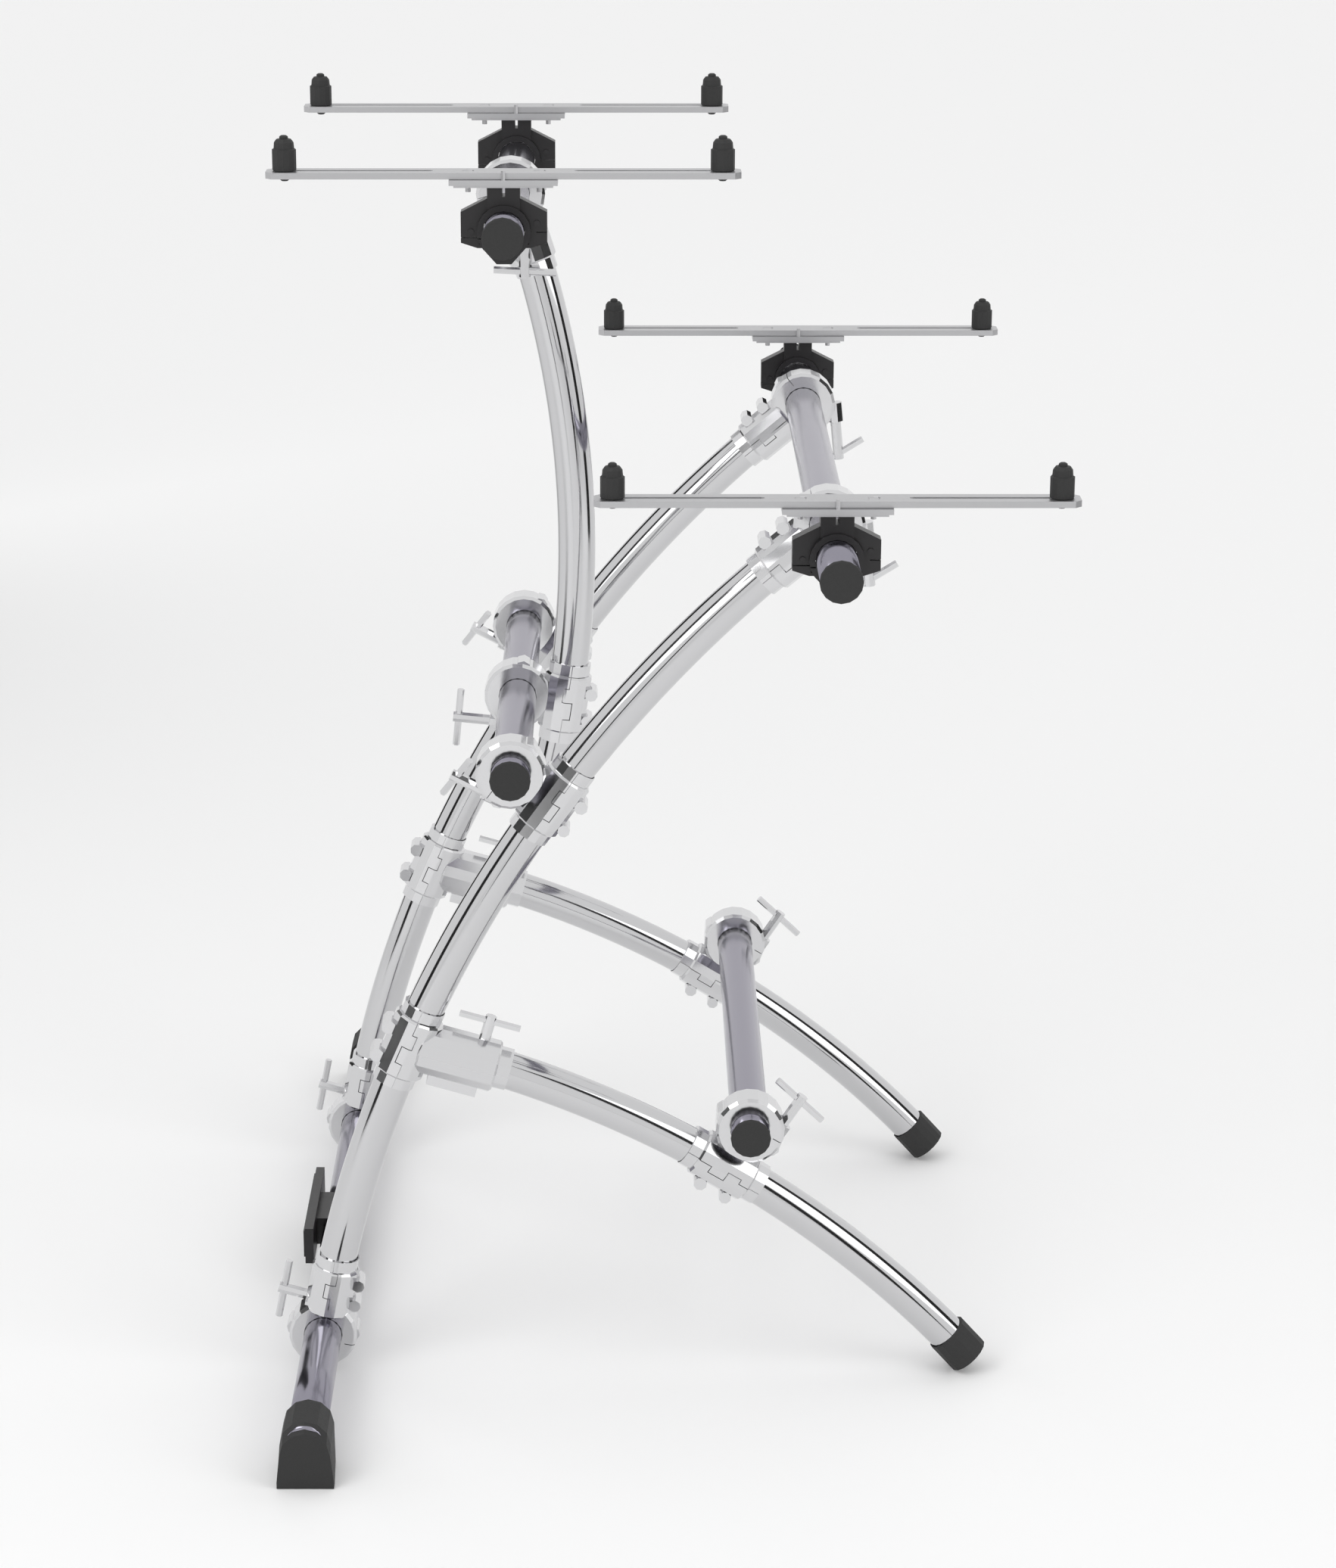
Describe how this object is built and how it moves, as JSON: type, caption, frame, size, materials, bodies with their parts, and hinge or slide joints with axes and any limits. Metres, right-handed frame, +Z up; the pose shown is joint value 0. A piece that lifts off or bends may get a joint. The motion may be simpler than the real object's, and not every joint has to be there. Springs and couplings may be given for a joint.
{
  "type": "two-tier keyboard stand",
  "caption": "Free-standing tubular stand whose slotted arms carry keyboards on two stepped tiers.",
  "frame": {"origin": "centre of the bounding box, on the floor", "axes": "+X along the crossbars, +Y towards the audience, +Z up"},
  "size_m": [1.064, 0.7704, 1.2461],
  "materials": {
    "chrome": "polished",
    "aluminium": "satin",
    "plastic": "satin",
    "rubber": "matte"
  },
  "bodies": {
    "frame": {"middle_crossbar": "chrome", "leg_crossbar": "chrome", "foot_bar": "chrome", "clamp_upright": "chrome", "name_plate": "plastic", "spine_left": "chrome", "spine_right": "chrome", "leg_left": "chrome", "leg_right": "chrome", "leg_tip_left": "rubber", "leg_tip_right": "rubber", "shoe_left": "rubber", "shoe_right": "rubber", "cap_middle_left": "rubber", "cap_middle_right": "rubber", "cap_leg_left": "rubber", "cap_leg_right": "rubber", "clamp_middle_left": "chrome", "clamp_middle_right": "chrome", "clamp_leg_left": "chrome", "clamp_leg_right": "chrome", "clamp_lower_left": "chrome", "clamp_lower_right": "chrome", "clamp_foot_left": "chrome", "clamp_foot_right": "chrome", "coupler_left": "chrome", "coupler_right": "chrome"},
    "post": {"upright": "chrome", "clamp_upper": "chrome"},
    "upper_bar": {"upper_crossbar": "chrome", "cap_upper_left": "rubber", "cap_upper_right": "rubber"},
    "lower_bar": {"lower_crossbar": "chrome", "cap_lower_left": "rubber", "cap_lower_right": "rubber"},
    "arm_upper_left": {"arm_bar_upper_left": "aluminium", "arm_plate_upper_left": "aluminium", "arm_clamp_upper_left": "plastic"},
    "peg_rear_upper_left": {"peg_rear_upper_left": "rubber"},
    "peg_front_upper_left": {"peg_front_upper_left": "rubber"},
    "arm_upper_right": {"arm_bar_upper_right": "aluminium", "arm_plate_upper_right": "aluminium", "arm_clamp_upper_right": "plastic"},
    "peg_rear_upper_right": {"peg_rear_upper_right": "rubber"},
    "peg_front_upper_right": {"peg_front_upper_right": "rubber"},
    "arm_lower_left": {"arm_bar_lower_left": "aluminium", "arm_plate_lower_left": "aluminium", "arm_clamp_lower_left": "plastic"},
    "peg_rear_lower_left": {"peg_rear_lower_left": "rubber"},
    "peg_front_lower_left": {"peg_front_lower_left": "rubber"},
    "arm_lower_right": {"arm_bar_lower_right": "aluminium", "arm_plate_lower_right": "aluminium", "arm_clamp_lower_right": "plastic"},
    "peg_rear_lower_right": {"peg_rear_lower_right": "rubber"},
    "peg_front_lower_right": {"peg_front_lower_right": "rubber"},
    "screw_upright": {"screw_upright": "chrome"},
    "screw_upper": {"screw_upper": "chrome"},
    "screw_lower_left": {"screw_lower_left": "chrome"},
    "screw_lower_right": {"screw_lower_right": "chrome"}
  },
  "joints": [
    {"name": "post_height", "type": "hinge", "parent": "frame", "child": "post", "pos_m": [0, 1.1297, 0.7955], "axis": [-1, 0, 0], "range_deg": [-8, 2.5]},
    {"name": "upper_tilt", "type": "hinge", "parent": "post", "child": "upper_bar", "pos_m": [0, 0.14405, 1.1575], "axis": [1, 0, 0], "range_deg": [-30, 30]},
    {"name": "lower_tilt", "type": "hinge", "parent": "frame", "child": "lower_bar", "pos_m": [0, -0.16295, 0.8865], "axis": [1, 0, 0], "range_deg": [-30, 30]},
    {"name": "arm_slide_upper_left", "type": "slide", "parent": "upper_bar", "child": "arm_upper_left", "axis": [-1, 0, 0], "range_m": [-0.15, 0.034]},
    {"name": "peg_slide_rear_upper_left", "type": "slide", "parent": "arm_upper_left", "child": "peg_rear_upper_left", "axis": [0, 1, 0], "range_m": [-0.135, 0.0035]},
    {"name": "peg_slide_front_upper_left", "type": "slide", "parent": "arm_upper_left", "child": "peg_front_upper_left", "axis": [0, -1, 0], "range_m": [-0.135, 0.0035]},
    {"name": "arm_slide_upper_right", "type": "slide", "parent": "upper_bar", "child": "arm_upper_right", "axis": [1, 0, 0], "range_m": [-0.15, 0.034]},
    {"name": "peg_slide_rear_upper_right", "type": "slide", "parent": "arm_upper_right", "child": "peg_rear_upper_right", "axis": [0, 1, 0], "range_m": [-0.135, 0.0035]},
    {"name": "peg_slide_front_upper_right", "type": "slide", "parent": "arm_upper_right", "child": "peg_front_upper_right", "axis": [0, -1, 0], "range_m": [-0.135, 0.0035]},
    {"name": "arm_slide_lower_left", "type": "slide", "parent": "lower_bar", "child": "arm_lower_left", "axis": [-1, 0, 0], "range_m": [-0.075, 0.074]},
    {"name": "peg_slide_rear_lower_left", "type": "slide", "parent": "arm_lower_left", "child": "peg_rear_lower_left", "axis": [0, 1, 0], "range_m": [-0.135, 0.0035]},
    {"name": "peg_slide_front_lower_left", "type": "slide", "parent": "arm_lower_left", "child": "peg_front_lower_left", "axis": [0, -1, 0], "range_m": [-0.135, 0.0035]},
    {"name": "arm_slide_lower_right", "type": "slide", "parent": "lower_bar", "child": "arm_lower_right", "axis": [1, 0, 0], "range_m": [-0.075, 0.074]},
    {"name": "peg_slide_rear_lower_right", "type": "slide", "parent": "arm_lower_right", "child": "peg_rear_lower_right", "axis": [0, 1, 0], "range_m": [-0.135, 0.0035]},
    {"name": "peg_slide_front_lower_right", "type": "slide", "parent": "arm_lower_right", "child": "peg_front_lower_right", "axis": [0, -1, 0], "range_m": [-0.135, 0.0035]},
    {"name": "screw_upright_turn", "type": "hinge", "parent": "frame", "child": "screw_upright", "pos_m": [0, 0.17007, 0.608], "axis": [0, 0.995, 0.0995], "continuous": true},
    {"name": "screw_upper_turn", "type": "hinge", "parent": "post", "child": "screw_upper", "pos_m": [-0.0312, 0.13055, 1.1145], "axis": [0, -0.02, -0.9998], "range_deg": [-15, 15]},
    {"name": "screw_lower_left_turn", "type": "hinge", "parent": "frame", "child": "screw_lower_left", "pos_m": [-0.273, -0.19895, 0.8665], "axis": [0, -0.0995, -0.995], "continuous": true},
    {"name": "screw_lower_right_turn", "type": "hinge", "parent": "frame", "child": "screw_lower_right", "pos_m": [0.273, -0.19895, 0.8665], "axis": [0, -0.0995, -0.995], "continuous": true}
  ]
}
